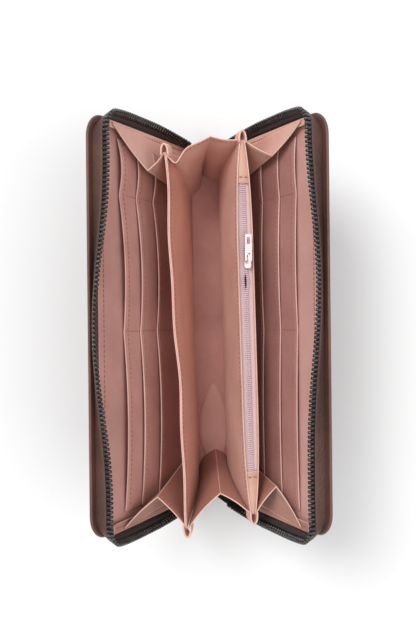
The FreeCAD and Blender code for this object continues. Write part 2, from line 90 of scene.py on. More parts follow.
def unit(vectors):
    """Each vector over its own length."""
    return vectors / np.maximum(np.linalg.norm(vectors, axis=-1, keepdims=True), 1e-12)


def make_piece(name, points, faces, materials, face_slots=None, flat_places=None):
    """Points and faces become one smooth-shaded mesh; face_slots says which material each face takes."""
    mesh = bpy.data.meshes.new(name)
    mesh.from_pydata(np.asarray(points).tolist(), [], np.asarray(faces).tolist())
    for material in materials:
        mesh.materials.append(material)
    if face_slots is not None:
        mesh.polygons.foreach_set("material_index", np.asarray(face_slots, np.int32))
    mesh.polygons.foreach_set("use_smooth", np.ones(len(mesh.polygons), bool))
    if flat_places is not None:
        corners = np.zeros(len(mesh.loops), np.int32)
        mesh.loops.foreach_get("vertex_index", corners)
        layer = mesh.uv_layers.new(name="Cut")
        layer.data.foreach_set("uv", np.asarray(flat_places, np.float32)[corners].ravel())
    mesh.update()
    piece = bpy.data.objects.new(name, mesh)
    bpy.context.scene.collection.objects.link(piece)
    return piece


def sewn_sheet(name, middle, thick, face_material, edge_material, round_steps=4):
    """A closed sheet of leather or tape from a grid of middle points.

    Each point moves half the thickness along the grid's normal to both sides. The rim is a half
    circle between the two faces: outward sin + normal cos, times half the thickness.
    """
    rows, columns = middle.shape[:2]
    up = np.gradient(middle, axis=0)
    along = np.gradient(middle, axis=1)
    normal = unit(np.cross(up, along))
    half = thick / 2
    place = np.arange(rows * columns).reshape(rows, columns)
    ring = np.concatenate([place[0, :-1], place[:-1, -1], place[-1, :0:-1], place[:0:-1, 0]])
    flat = middle.reshape(-1, 3)
    flat_normal = normal.reshape(-1, 3)
    rim, rim_normal = flat[ring], flat_normal[ring]
    heading = np.roll(rim, -1, axis=0) - np.roll(rim, 1, axis=0)
    outward = unit(np.cross(rim_normal, unit(heading)))
    turns = np.linspace(0, math.pi, round_steps + 1)[1:-1]
    rounds = [rim + half * (outward * math.sin(turn) + rim_normal * math.cos(turn)) for turn in turns]
    points = np.concatenate([flat + half * flat_normal, flat - half * flat_normal] + rounds)
    top = np.stack(
        [place[:-1, :-1], place[1:, :-1], place[1:, 1:], place[:-1, 1:]], axis=-1
    ).reshape(-1, 4)
    count = rows * columns
    loops = [ring]
    loops += [2 * count + number * len(ring) + np.arange(len(ring)) for number in range(len(rounds))]
    loops += [ring + count]
    strips = [
        np.stack([upper, np.roll(upper, -1), np.roll(lower, -1), lower], axis=-1)
        for upper, lower in zip(loops[:-1], loops[1:])
    ]
    faces = np.concatenate([top, top[:, ::-1] + count] + strips)
    slots = np.concatenate([np.zeros(2 * len(top)), np.ones(len(faces) - 2 * len(top))])
    step_up = np.diff(middle, axis=0, prepend=middle[:1])
    step_along = np.diff(middle, axis=1, prepend=middle[:, :1])
    length_up = np.cumsum(np.linalg.norm(step_up, axis=-1), axis=0)
    length_along = np.cumsum(np.linalg.norm(step_along, axis=-1), axis=1)
    cut = np.stack([length_along, length_up], axis=-1).reshape(-1, 2)
    cut = np.concatenate([cut, cut] + [cut[ring]] * len(rounds))
    return make_piece(name, points, faces, [face_material, edge_material], slots, cut)


def srgb(red, green, blue):
    """A colour as a maker's swatch gives it, 0 to 255, made linear for the shader."""
    share = np.array([red, green, blue]) / 255
    linear = np.where(share <= 0.04045, share / 12.92, ((share + 0.055) / 1.055) ** 2.4)
    return (*linear.tolist(), 1.0)


def node(tree, kind, **settings):
    """One shader node with its settings; a key that names a socket fills that socket."""
    made = tree.nodes.new(kind)
    for key, value in settings.items():
        if hasattr(made, key):
            setattr(made, key, value)
        else:
            made.inputs[key.replace("_", " ")].default_value = value
    return made


def grained(name, light, dark, rough, grain_scale, grain_depth, sheen=0.0, blotch=28.0, metal=0.0):
    """Grained leather: two tints clouded by noise, and a pebbled bump from cells and fine noise."""
    material = bpy.data.materials.new(name)
    material.use_nodes = True
    tree = material.node_tree
    shader = tree.nodes["Principled BSDF"]
    shader.inputs["Metallic"].default_value = metal
    shader.inputs["Sheen Weight"].default_value = sheen
    shader.inputs["Sheen Roughness"].default_value = 0.45
    place = node(tree, "ShaderNodeTexCoord")
    clouds = node(tree, "ShaderNodeTexNoise", Scale=blotch, Detail=5.0, Roughness=0.62)
    tints = node(tree, "ShaderNodeMix", data_type="RGBA")
    tints.inputs[6].default_value = dark
    tints.inputs[7].default_value = light
    spread = node(tree, "ShaderNodeMapRange", From_Min=0.32, From_Max=0.68)
    pores = node(tree, "ShaderNodeTexVoronoi", Scale=grain_scale, Randomness=1.0)
    fine = node(tree, "ShaderNodeTexNoise", Scale=grain_scale * 2.6, Detail=3.0)
    relief = node(tree, "ShaderNodeMath", operation="ADD")
    bump = node(tree, "ShaderNodeBump", Strength=0.55, Distance=grain_depth)
    gloss = node(tree, "ShaderNodeMapRange", To_Min=rough - 0.07, To_Max=rough + 0.09)
    for texture in (clouds, pores, fine):
        tree.links.new(place.outputs["Object"], texture.inputs["Vector"])
    tree.links.new(clouds.outputs["Fac"], spread.inputs["Value"])
    tree.links.new(spread.outputs["Result"], tints.inputs["Factor"])
    tree.links.new(tints.outputs[2], shader.inputs["Base Color"])
    tree.links.new(pores.outputs["Distance"], relief.inputs[0])
    tree.links.new(fine.outputs["Fac"], relief.inputs[1])
    tree.links.new(relief.outputs["Value"], bump.inputs["Height"])
    tree.links.new(bump.outputs["Normal"], shader.inputs["Normal"])
    tree.links.new(fine.outputs["Fac"], gloss.inputs["Value"])
    tree.links.new(gloss.outputs["Result"], shader.inputs["Roughness"])
    return material


brown_hide = grained("brown_hide", srgb(98, 64, 54), srgb(72, 46, 39), 0.5, 900, 0.00035)
brown_edge = grained("brown_edge", srgb(118, 80, 67), srgb(88, 58, 49), 0.42, 1500, 0.00012)


def case_grid(side):
    """Middle surface of one skin: flat under the spine, a cubic bend round the fold, then up the cover.

    Rows follow that path; columns share out the width, which shrinks along the corner's quarter circle.
    """
    sign = SIDES[side]
    under = np.stack(
        [sign * np.linspace(0, SPINE_FLAT, 7), np.zeros(7), np.full(7, CASE_THICK / 2)], axis=-1
    )
    start, finish = under[-1], on_cover(side, -CASE_THICK / 2, 0.0, BEND_FOOT)
    climb = unit(finish - on_cover(side, -CASE_THICK / 2, 0.0, 0.0))
    share = np.linspace(0, 1, 12)[1:-1, None]
    out, back = start + np.array([sign * BEND_OUT, 0, 0]), finish - BEND_BACK * climb
    bend = (
        (1 - share) ** 3 * start + 3 * (1 - share) ** 2 * share * out
        + 3 * (1 - share) * share ** 2 * back + share ** 3 * finish
    )
    rim = CASE_THICK / 2
    straight = np.linspace(BEND_FOOT, CASE_RISE - CORNER_RADIUS, 40)
    turn = np.linspace(0, math.pi / 2, 12)[1:]
    rise = np.concatenate([straight, CASE_RISE - CORNER_RADIUS + (CORNER_RADIUS - rim) * np.sin(turn)])
    panel = on_cover(side, -CASE_THICK / 2, 0.0, rise)
    path = np.concatenate([under, bend, panel])
    width = np.full(len(path), CASE_HALF - rim)
    width[-len(turn):] = CASE_HALF - CORNER_RADIUS + (CORNER_RADIUS - rim) * np.cos(turn)
    share_along = np.linspace(-1, 1, 61)
    grid = np.repeat(path[:, None], len(share_along), axis=1)
    grid[..., 1] = width[:, None] * share_along
    climbing = np.clip((path[:, 2] - CROWN_FOOT) / CROWN_REACH, 0, 1)
    crown = CASE_CROWN * np.sin(math.pi * climbing)[:, None] * (1 - share_along ** 4)
    grid[..., 0] += sign * crown
    return grid


for side, sign in SIDES.items():
    skin = sewn_sheet("case_skin_" + side, case_grid(side), CASE_THICK, brown_hide, brown_edge)
    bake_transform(skin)
    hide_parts("cover_leather_" + side)
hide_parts("spine_leather")


# ---------------------------------------------------------------- stiffening boards
# Grey fibre board glued between leather and lining of each cover. It is only seen as a sliver
# at the edge, and it stays as it was cut.

grey_board = grained("grey_board", srgb(120, 108, 100), srgb(96, 84, 78), 0.85, 700, 0.0001)


def finish_nodes(names, material):
    """Gives pieces that keep their own shape their real finish."""
    for name in names:
        nodes[name].data.materials.clear()
        nodes[name].data.materials.append(material)


finish_nodes(["cover_board_left", "cover_board_right"], grey_board)


# ---------------------------------------------------------------- side walls
# A strip of the same brown leather sewn round the mouth of each cover. Along the mouth it is
# pushed upright by the opened zip, and at the corners it still stands square to the cover.

SEW_INSET = 2.8 * MM
FAR_INSET = 1.4 * MM
SEW_DROP = 1.3 * MM
WALL_START, WALL_DEPTH = -0.6 * MM, 5.4 * MM
WALL_THICK = 1.1 * MM
SEW_RADIUS = CORNER_RADIUS - SEW_INSET
STRIP_FOOT = 5 * MM
# for each side: the splay in the middle of the bow, where along Y that is, and the splay at its ends
SPLAY = {"left": (64.0, -2 * MM, 8.0), "right": (45.0, 18 * MM, 3.0)}
BOW_HALF = 80 * MM
END_SPLAY = 56.0
END_OPENS, END_REACH = 6 * MM, 40 * MM
CORNER_OPENS, CORNER_REACH, CORNER_EASE = 62 * MM, 26 * MM, 0.4
FOOT_REACH, FOOT_SPREAD = 26 * MM, 2.2 / 7
dark_hide = grained("dark_hide", srgb(98, 65, 57), srgb(66, 43, 38), 0.55, 800, 0.0004)


def sewing_line(side):
    """The U-shaped seam round a cover: up one end, a quarter circle, along the mouth, down the other.

    Gives along, rise, the in-plane normal (along, rise) and the splay angle. On the mouth the splay
    is a squared cosine of the distance from the bow's middle. On the ends it fades to the foot.
    """
    peak, middle, least = SPLAY[side]
    top = CASE_RISE - SEW_DROP - SEW_INSET
    end, far_end = CASE_HALF - SEW_INSET, CASE_HALF - FAR_INSET
    climb = np.linspace(STRIP_FOOT, top - SEW_RADIUS, 30)
    turn = np.linspace(0, math.pi / 2, 14)[1:-1]
    cross = np.linspace(end - SEW_RADIUS, -(far_end - SEW_RADIUS), 90)
    along = np.concatenate([
        np.full(30, end), end - SEW_RADIUS + SEW_RADIUS * np.cos(turn), cross,
        -(far_end - SEW_RADIUS) - SEW_RADIUS * np.sin(turn), np.full(30, -far_end),
    ])
    rise = np.concatenate([
        climb, top - SEW_RADIUS + SEW_RADIUS * np.sin(turn), np.full(90, top),
        top - SEW_RADIUS + SEW_RADIUS * np.cos(turn), climb[::-1],
    ])
    heading = unit(np.stack([np.gradient(along), np.gradient(rise)], axis=-1))
    outward = np.stack([heading[:, 1], -heading[:, 0]], axis=-1)
    reach = np.clip(np.abs(along - middle) / BOW_HALF, 0, 1)
    on_mouth = least + (peak - least) * np.cos(reach * math.pi / 2) ** 2
    on_end = END_SPLAY * np.clip((rise - END_OPENS) / END_REACH, 0, 1) ** 0.7
    on_end = on_end * (1 - CORNER_EASE * np.clip((rise - CORNER_OPENS) / CORNER_REACH, 0, 1) ** 2)
    share = np.abs(outward[:, 0]) ** 1.5
    splay = np.radians(on_mouth * (1 - share) + on_end * share)
    return along, rise, outward, splay


def strip_points(side, depth, lift):
    """Points at a depth off the sewing line, leaning out by the splay, with lift square to the strip.

    inward = depth cos - lift sin, and in the panel's plane the seam's normal times depth sin + lift cos.
    Near the foot, depth counts for a little more inward.
    """
    along, rise, outward, splay = sewing_line(side)
    inward = depth * np.cos(splay) - lift * np.sin(splay)
    sideways = depth * np.sin(splay) + lift * np.cos(splay)
    low = np.clip(1 - (rise - STRIP_FOOT) / FOOT_REACH, 0, 1)
    inward = inward + FOOT_SPREAD * depth * low ** 2
    return on_cover(side, inward, along + outward[:, 0] * sideways, rise + outward[:, 1] * sideways)


def mouth_strip(name, side, depths, lift, thick, face_material, edge_material):
    """A strip of the given depths carried round the sewing line."""
    grid = np.stack([strip_points(side, depth, lift) for depth in depths])
    return sewn_sheet(name, grid, thick, face_material, edge_material)


for side in SIDES:
    wall = mouth_strip(
        "mouth_wall_" + side, side, np.linspace(WALL_START, WALL_DEPTH, 7), 0, WALL_THICK,
        dark_hide, brown_hide,
    )
    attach(wall, "cover_" + side)
    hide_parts("side_wall_" + side)


# ---------------------------------------------------------------- main zip tapes
# Black woven tape, sewn to the inside of the wall, with its free edge carrying the teeth. The
# weave is a twill, so its ribs run at a slant to the edge.

TAPE_THICK = 0.5 * MM
TAPE_START, TAPE_END = 3.6 * MM, 7.2 * MM
TAPE_LIFT = -0.85 * MM


def woven(name, light, dark, pitch, rough):
    """Cloth tape: warp and weft as two crossed sine waves on the piece's own flat cut."""
    material = bpy.data.materials.new(name)
    material.use_nodes = True
    tree = material.node_tree
    shader = tree.nodes["Principled BSDF"]
    shader.inputs["Sheen Weight"].default_value = 0.25
    shader.inputs["Roughness"].default_value = rough
    cut = node(tree, "ShaderNodeUVMap", uv_map="Cut")
    turned = node(tree, "ShaderNodeMapping", Scale=(1 / pitch, 1 / pitch, 1.0), Rotation=(0, 0, 0.6))
    warp = node(tree, "ShaderNodeTexWave", Scale=0.32, Distortion=0.4, bands_direction="X")
    weft = node(tree, "ShaderNodeTexWave", Scale=0.32, Distortion=0.4, bands_direction="Y")
    height = node(tree, "ShaderNodeMath", operation="MULTIPLY")
    tints = node(tree, "ShaderNodeMix", data_type="RGBA")
    tints.inputs[6].default_value = dark
    tints.inputs[7].default_value = light
    bump = node(tree, "ShaderNodeBump", Strength=0.7, Distance=0.00015)
    tree.links.new(cut.outputs["UV"], turned.inputs["Vector"])
    for wave in (warp, weft):
        tree.links.new(turned.outputs["Vector"], wave.inputs["Vector"])
    tree.links.new(warp.outputs["Fac"], height.inputs[0])
    tree.links.new(weft.outputs["Fac"], height.inputs[1])
    tree.links.new(height.outputs["Value"], tints.inputs["Factor"])
    tree.links.new(tints.outputs[2], shader.inputs["Base Color"])
    tree.links.new(height.outputs["Value"], bump.inputs["Height"])
    tree.links.new(bump.outputs["Normal"], shader.inputs["Normal"])
    return material


black_tape = woven("black_tape", srgb(46, 36, 34), srgb(24, 19, 18), 0.0006, 0.75)
for side in SIDES:
    tape = mouth_strip(
        "zip_cloth_" + side, side, np.linspace(TAPE_START, TAPE_END, 6), TAPE_LIFT, TAPE_THICK,
        black_tape, black_tape,
    )
    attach(tape, "cover_" + side)
    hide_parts("zip_tape_" + side)


# ---------------------------------------------------------------- main zip teeth
# Cast gunmetal teeth clamped over the bead of the tape. Each has a broad clamp, a narrower neck
# and a rounded head, and a plain block stops each end of a row.

TOOTH_PITCH = 2.05 * MM
TOOTH_FOOT = 16 * MM
TOOTH_DEPTHS = np.array([-1.9, -1.7, -0.7, 0.1, 0.5, 1.05, 1.5, 1.7]) * MM
TOOTH_WIDTHS = np.array([0.4, 0.78, 0.86, 0.74, 0.66, 0.82, 0.68, 0.3]) * MM
TOOTH_HEIGHTS = np.array([0.4, 1.0, 1.25, 1.1, 0.9, 1.0, 0.75, 0.25]) * MM


def polished(name, colour, dark, rough):
    """Plated cast metal, slightly clouded, with a fine scratch bump."""
    material = grained(name, colour, dark, rough, 2600, 0.04 * MM, metal=1.0, blotch=160)
    surface = material.node_tree.nodes["Principled BSDF"]
    surface.inputs["Coat Weight"].default_value = 1.0
    surface.inputs["Coat Roughness"].default_value = 0.12
    return material


gunmetal = polished("gunmetal", srgb(76, 72, 73), srgb(26, 24, 25), 0.2)
CHAIN_ROOT = TAPE_END - 2 * MM
STOP_STEP = 1.5


def lofted(depths, widths, heights, around=8):
    """A closed loft along X: each station is a rounded square of |cos|, |sin| to the power 0.7."""
    turn = (np.arange(around) + 0.5) * 2 * math.pi / around
    square = np.sign(np.cos(turn)) * np.abs(np.cos(turn)) ** 0.7
    upright = np.sign(np.sin(turn)) * np.abs(np.sin(turn)) ** 0.7
    points = np.stack([
        np.repeat(depths, around), np.outer(widths, square).ravel(), np.outer(heights, upright).ravel()
    ], axis=-1)
    faces = []
    for station in range(len(depths) - 1):
        here = station * around + np.arange(around)
        following = station * around + np.roll(np.arange(around), -1)
        faces.extend(np.stack([here, following, following + around, here + around], axis=-1).tolist())
    last = (len(depths) - 1) * around
    faces.append(list(range(around - 1, -1, -1)))
    faces.append(list(range(last, last + around)))
    return points, faces


def repeated(name, shape, places, reach, heading, material):
    """Many copies of one small shape: X along reach, Y along heading and Z square to both."""
    points, faces = shape
    reach = unit(reach)
    square = unit(np.cross(reach, heading))
    side_on = np.cross(square, reach)
    turns = np.stack([reach, side_on, square], axis=1)
    placed = places[:, None] + np.einsum("pk,nkx->npx", points, turns)
    mesh = bpy.data.meshes.new(name)
    firsts = range(0, len(points) * len(places), len(points))
    everything = [[corner + first for corner in face] for first in firsts for face in faces]
    mesh.from_pydata(placed.reshape(-1, 3).tolist(), [], everything)
    mesh.materials.append(material)
    mesh.polygons.foreach_set("use_smooth", np.ones(len(mesh.polygons), bool))
    piece = bpy.data.objects.new(name, mesh)
    bpy.context.scene.collection.objects.link(piece)
    return piece


def even_places(path, pitch, *others):
    """The path, and other paths beside it, read at even steps of the path's length."""
    length = np.concatenate([[0], np.cumsum(np.linalg.norm(np.diff(path, axis=0), axis=-1))])
    steps = np.linspace(0, length[-1], max(2, int(round(length[-1] / pitch)) + 1))
    steps = (steps[1:] + steps[:-1]) / 2
    return [
        np.stack([np.interp(steps, length, line[:, axis]) for axis in range(3)], axis=-1)
        for line in (path, *others)
    ]


tooth = lofted(TOOTH_DEPTHS, TOOTH_WIDTHS, TOOTH_HEIGHTS)
stop_block = lofted(TOOTH_DEPTHS * 0.9, np.full(8, 1.3) * MM, TOOTH_HEIGHTS * 1.15)
for side in SIDES:
    toothed = sewing_line(side)[1] > TOOTH_FOOT
    chain = strip_points(side, TAPE_END, TAPE_LIFT)[toothed]
    root = strip_points(side, CHAIN_ROOT, TAPE_LIFT)[toothed]
    places, roots = even_places(chain, TOOTH_PITCH, root)
    heading = np.gradient(places, axis=0)
    teeth = repeated("zip_tooth_row_" + side, tooth, places, places - roots, heading, gunmetal)
    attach(teeth, "cover_" + side)
    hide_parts("zip_teeth_" + side)
    pair = np.array([0, -1])
    beyond = places[pair] - heading[pair] * np.array([[STOP_STEP], [-STOP_STEP]])
    stops = repeated(
        "zip_stop_pair_" + side, stop_block, beyond, (places - roots)[pair], heading[pair], gunmetal
    )
    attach(stops, "cover_" + side)
    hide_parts("zip_stops_" + side)


# ---------------------------------------------------------------- main slider, pull and end tabs
# The gunmetal slider is parked at the top end of the spine with its short pull hanging from the
# bail. A leather tab closes the zip at each end of the spine.

finish_nodes(["zip_slider", "zip_pull"], gunmetal)
finish_nodes(["zip_end_tab_top", "zip_end_tab_bottom"], dark_hide)


# ---------------------------------------------------------------- cover linings
# A panel of rose lining leather covers the board of each cover. Its edge runs under the wall,
# and a line of stitches holds it just inside the mouth.

LINING_THICK = 0.6 * MM
LINING_INWARD = 1.1 * MM
LINING_RISE = 91.8 * MM
LINING_HALF = 93.8 * MM
LINING_FAR_HALF = 95.4 * MM
LINING_RADIUS = 8 * MM
# Painted light and shade: the two linings are lit and shaded copies of one leather, with the right one
# painted a little lighter than the left.
lining_lit_and_shaded = {
    "left": grained("rose_lining_left", srgb(208, 159, 149), srgb(188, 139, 130), 0.5, 1500, 0.0001, 0.12),
    "right": grained("rose_lining_right", srgb(212, 166, 157), srgb(194, 147, 138), 0.5, 1500, 0.0001, 0.12),
}
# Painted highlight: the folded rims of linings, pockets and floor take this paler copy of the lining leather
# in place of the light caught along them.
rose_edge_painted_highlight = grained("rose_edge_painted_highlight", srgb(232, 190, 180), srgb(214, 168, 157), 0.42, 1800, 0.00006)
rose_thread = grained("rose_thread", srgb(176, 120, 106), srgb(150, 98, 86), 0.6, 4000, 0.00005)
THREAD_STITCH = lofted(
    np.array([-1.0, -0.75, 0, 0.75, 1.0]) * 0.82 * MM,
    np.array([0.1, 0.25, 0.3, 0.25, 0.1]) * MM,
    np.array([0.08, 0.22, 0.28, 0.22, 0.08]) * MM, around=6,
)
STITCH_PITCH = 2.3 * MM
THREAD_LIFT = 0.05 * MM
LINING_SEAM_RISE, LINING_SEAM_HALF = 88.2 * MM, 82 * MM


def thread_row(name, path, above):
    """A row of stitches along a path, lying flat on the leather whose normal is above."""
    places, normals = even_places(path, STITCH_PITCH, above)
    heading = np.gradient(places, axis=0)
    return repeated(name, THREAD_STITCH, places, heading, np.cross(normals, heading), rose_thread)


def stitched(name, path, above, body):
    """A row of stitches that moves with one body."""
    row = thread_row(name, path, above)
    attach(row, body)


def rounded_panel(side, inward, rise_low, rise_high, half, far_half, radius):
    """A cover panel with two round corners at the mouth, as a grid of rows up the cover.

    It reaches half to the top end and far_half to the bottom end.
    """
    turn = np.linspace(0, math.pi / 2, 10)[1:]
    straight = np.linspace(rise_low, rise_high - radius, 30)
    rise = np.concatenate([straight, rise_high - radius + radius * np.sin(turn)])
    shorter = np.concatenate([np.zeros(30), radius * (1 - np.cos(turn))])[:, None]
    share = np.linspace(-1, 1, 41)
    along = np.where(share > 0, (half - shorter) * share, (far_half - shorter) * share)
    return on_cover(side, inward, along, rise[:, None])


def inner_normal(side, count):
    """The direction that a cover's inner face looks in, once for each point."""
    facing = on_cover(side, 1.0, 0.0, 0.0) - on_cover(side, 0.0, 0.0, 0.0)
    return np.repeat(facing[None], count, axis=0)


for side in SIDES:
    grid = rounded_panel(
        side, LINING_INWARD, 1 * MM, LINING_RISE, LINING_HALF, LINING_FAR_HALF, LINING_RADIUS
    )
    lining = sewn_sheet("cover_lining_" + side, grid, LINING_THICK, lining_lit_and_shaded[side], rose_edge_painted_highlight)
    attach(lining, "cover_" + side)
    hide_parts("lining_panel_" + side)
    line = np.linspace(-LINING_SEAM_HALF, LINING_SEAM_HALF, 120)
    seam = on_cover(side, LINING_INWARD + LINING_THICK / 2 + THREAD_LIFT, line, LINING_SEAM_RISE)
    stitched("cover_seam_" + side, seam, inner_normal(side, 120), "cover_" + side)


# ---------------------------------------------------------------- card pockets
# Three stepped pockets on each cover, each with its mouth folded over and sewn. Cross seams
# split them into card-wide columns, and between the seams the soft mouths belly open a little.

POCKET_THICK = 0.7 * MM
POCKET_HALF = 88.3 * MM
POCKET_FOOT = 9 * MM
POCKET_BELLY = {"left": 2.2 * MM, "right": 0.9 * MM}
POCKET_SEAMS = np.array([-POCKET_HALF, -3.0 * MM, 62.0 * MM, POCKET_HALF])
POCKET_RIMS = {
    side: [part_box(f"card_pocket_{side}_{number}")[1][2] for number in (1, 2, 3)] for side in SIDES
}
# how much higher each mouth sits than the sewn pocket, and how it climbs with Y towards the top end
RIM_LIFT = {"left": -1.2 * MM, "right": 1.4 * MM}
RIM_DRAW = {"left": 0.048, "right": 0.0}
STACK_FOOT, MOUTH_GAP = 1.4 * MM, 0.3 * MM
MOUTH_SEAM = 0.956
SEAM_TOP, SEAM_LOWEST = 0.985, (0.62, 0.62, 0.3)
# Painted shade: each pocket further down the stack is darker by this step. The left cover's pockets are a
# painted-light copy and the right's a painted-shade copy of one leather.
PAINTED_SHADE_STEP = 9
POCKET_LIT_AND_SHADED_TINTS = {
    "left": (np.array([212, 160, 149]), np.array([192, 140, 130])),
    "right": (np.array([184, 134, 124]), np.array([164, 115, 106])),
}


def pocket_painted_shade_leather(side, step):
    """Lining leather with painted shade: darker for each pocket further down the stack, and painted lighter
    on the left cover than on the right.
    """
    light, dark = (srgb(*(tint - PAINTED_SHADE_STEP * step)) for tint in POCKET_LIT_AND_SHADED_TINTS[side])
    return grained(f"pocket_leather_{side}_{step}", light, dark, 0.5, 1500, 0.0001, 0.12)


def belly(along):
    """How far a pocket mouth stands open: a half sine between each two cross seams."""
    column = np.clip(np.searchsorted(POCKET_SEAMS, along) - 1, 0, len(POCKET_SEAMS) - 2)
    low, high = POCKET_SEAMS[column], POCKET_SEAMS[column + 1]
    return np.sin(math.pi * np.clip((along - low) / (high - low), 0, 1)) ** 0.8


def pocket_surface(side, number, along, share):
    """Middle of a pocket's panel: share 0 at its foot, 1 at its mouth, bellied by share cubed."""
    rim = (POCKET_RIMS[side][number - 1] - FOLD_LEVEL) / math.cos(COVER_LEAN)
    rim = rim + RIM_LIFT[side] + RIM_DRAW[side] * np.maximum(along, 0)
    rise = POCKET_FOOT + (rim - POCKET_FOOT) * share
    stand = STACK_FOOT + POCKET_THICK * (number - 0.5)
    inward = stand + (POCKET_BELLY[side] * belly(along) + MOUTH_GAP) * share ** 3
    return on_cover(side, inward, along, rise)


def pocket_seam(side, number, seam_name, along, share):
    """Stitches on a pocket's face, along the given places of its surface."""
    facing = inner_normal(side, np.broadcast(along, share).size)
    path = pocket_surface(side, number, along, share) + facing * (POCKET_THICK / 2 + 0.02 * MM)
    stitched(f"pocket_{side}_{number}_{seam_name}", path, facing, "cover_" + side)


along, share = np.meshgrid(np.linspace(-POCKET_HALF, POCKET_HALF, 91), np.linspace(0, 1, 24))
line = np.linspace(-POCKET_HALF + 2 * MM, POCKET_HALF - 2 * MM, 160)
for side in SIDES:
    for number in (1, 2, 3):
        pocket = sewn_sheet(
            f"pocket_{side}_{number}", pocket_surface(side, number, along, share), POCKET_THICK,
            pocket_painted_shade_leather(side, number - 1), rose_edge_painted_highlight,
        )
        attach(pocket, "cover_" + side)
        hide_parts(f"card_pocket_{side}_{number}")
        pocket_seam(side, number, "mouth_seam", line, MOUTH_SEAM)
        climb = np.linspace(SEAM_LOWEST[number - 1], SEAM_TOP, 40)
        pocket_seam(side, number, "lower_seam", POCKET_SEAMS[1], climb)
        pocket_seam(side, number, "upper_seam", POCKET_SEAMS[2], climb)


# ---------------------------------------------------------------- spine floor
# The lining runs through the bottom of the middle compartment, with a row of stitches on each side
# at the foot of the dividers. A pointed oval of it stands a little proud near the bottom end.

FLOOR_LEVEL = 3.0 * MM
FLOOR_HALF = 9.6 * MM
FLOOR_LIMIT = 9.2 * MM
FLOOR_SKEW = -0.020
FLOOR_CROWN, FLOOR_THICK = 0.5 * MM, 0.6 * MM
FLOOR_REACH = 84 * MM
FLOOR_SEAM_BOTTOM, FLOOR_SEAM_TOP, FLOOR_SEAM_SHARE = -78 * MM, 76 * MM, 0.93
SWELL_PLACE, SWELL_REACH, SWELL_HALF = -58 * MM, 24 * MM, 8.2 * MM
SWELL_SHIFT, SWELL_RISE, SWELL_LIFT = 2.0 * MM, 1.6 * MM, 0.2 * MM
SWELL_THICK, SWELL_TIP = 0.4 * MM, 0.05 * MM
# Painted light: the swell's leather is lighter than the floor's, a painted pool of light on the oval.
swell_painted_light = grained("swell_painted_light", srgb(240, 190, 178), srgb(222, 170, 158), 0.42, 1500, 0.0001, 0.12)
floor_leather = grained("floor_leather", srgb(228, 172, 160), srgb(200, 146, 136), 0.46, 1500, 0.0001, 0.12)


def floor_surface(share, along):
    """The floor: level, crowned a little, its middle drifting across by the skew times Y."""
    across = np.clip(FLOOR_HALF * share + FLOOR_SKEW * along, -FLOOR_LIMIT, FLOOR_LIMIT)
    level = FLOOR_LEVEL + FLOOR_CROWN * (1 - share ** 2)
    return np.stack(np.broadcast_arrays(across, along, level), axis=-1)


def swell_surface(lengthwise, sideways):
    """The oval swell, with both arguments from -1 to 1: a pointed oval domed like half an ellipse.

    X = shift + sideways half cos(pi/2 lengthwise)^0.8, and its rise is the rise in the middle times
    sqrt(1 - sideways^2) cos(pi/2 lengthwise).
    """
    point = np.cos(lengthwise * math.pi / 2)
    across = SWELL_SHIFT + sideways * (SWELL_HALF * point ** 0.8 + SWELL_TIP)
    dome = SWELL_RISE * np.sqrt(np.clip(1 - sideways ** 2, 0, 1)) * point
    level = FLOOR_LEVEL + FLOOR_CROWN + SWELL_LIFT + dome
    return np.stack([across, SWELL_PLACE + SWELL_REACH * lengthwise, level], axis=-1)


share, along = np.meshgrid(np.linspace(1, -1, 25), np.linspace(-FLOOR_REACH, FLOOR_REACH, 91))
floor = sewn_sheet("spine_floor", floor_surface(share, along), FLOOR_THICK, floor_leather, rose_edge_painted_highlight)
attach(floor, "spine")
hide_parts("spine_lining")
lengthwise, sideways = np.meshgrid(np.linspace(-1, 1, 41), np.linspace(1, -1, 17))
swell = sewn_sheet(
    "floor_swell", swell_surface(lengthwise, sideways), SWELL_THICK, swell_painted_light, swell_painted_light
)
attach(swell, "spine")
line = np.linspace(FLOOR_SEAM_BOTTOM, FLOOR_SEAM_TOP, 120)
upward = np.tile([0.0, 0.0, 1.0], (120, 1))
for side, sign in SIDES.items():
    seam = floor_surface(np.full(120, sign * FLOOR_SEAM_SHARE), line)
    seam[:, 2] += FLOOR_THICK / 2 + THREAD_LIFT
    stitched("floor_seam_" + side, seam, upward, "spine")


# ---------------------------------------------------------------- left divider
# Two plies of lining leather sewn back to back, with a pale raw edge on top. It stands on the
# spine seam, and its free edge has slipped a little along and across the wallet.

DIVIDER_BASE = abs(joint["divider_left_fold"]["pos_m"][0])
DIVIDER_RISE = 62 * MM
DIVIDER_HALF = 90.6 * MM
DIVIDER_LEAN = {"left": math.radians(10.4), "right": math.radians(12.5)}
DIVIDER_SLIP = {"left": -7.5 * MM, "right": -1.5 * MM}
DIVIDER_SKEW = {"left": -0.050, "right": -0.020}
DIVIDER_FLARE = 4.2 * MM
FLARE_FADE = 12 * MM
FOOT_HALF, FOOT_WIDENS = 8.7 * MM, 0.42
FOOT_START, FOOT_BENDS = 0.4 * MM, 16 * MM
PLY = 0.55 * MM
PLY_GAP = 0.03 * MM
SEAM_BELOW_RIM = 2.4 * MM
# height, length along Y and phase of the two waves of a divider's free edge
EDGE_WAVES = ((0.5 * MM, 17 * MM, 0.0), (0.35 * MM, 7.5 * MM, 1.0))
divider_leather = grained(
    "divider_leather", srgb(224, 164, 142), srgb(200, 140, 120), 0.48, 1500, 0.0001, 0.12
)
raw_edge = grained("raw_edge", srgb(238, 200, 187), srgb(220, 176, 163), 0.5, 1800, 0.00006)


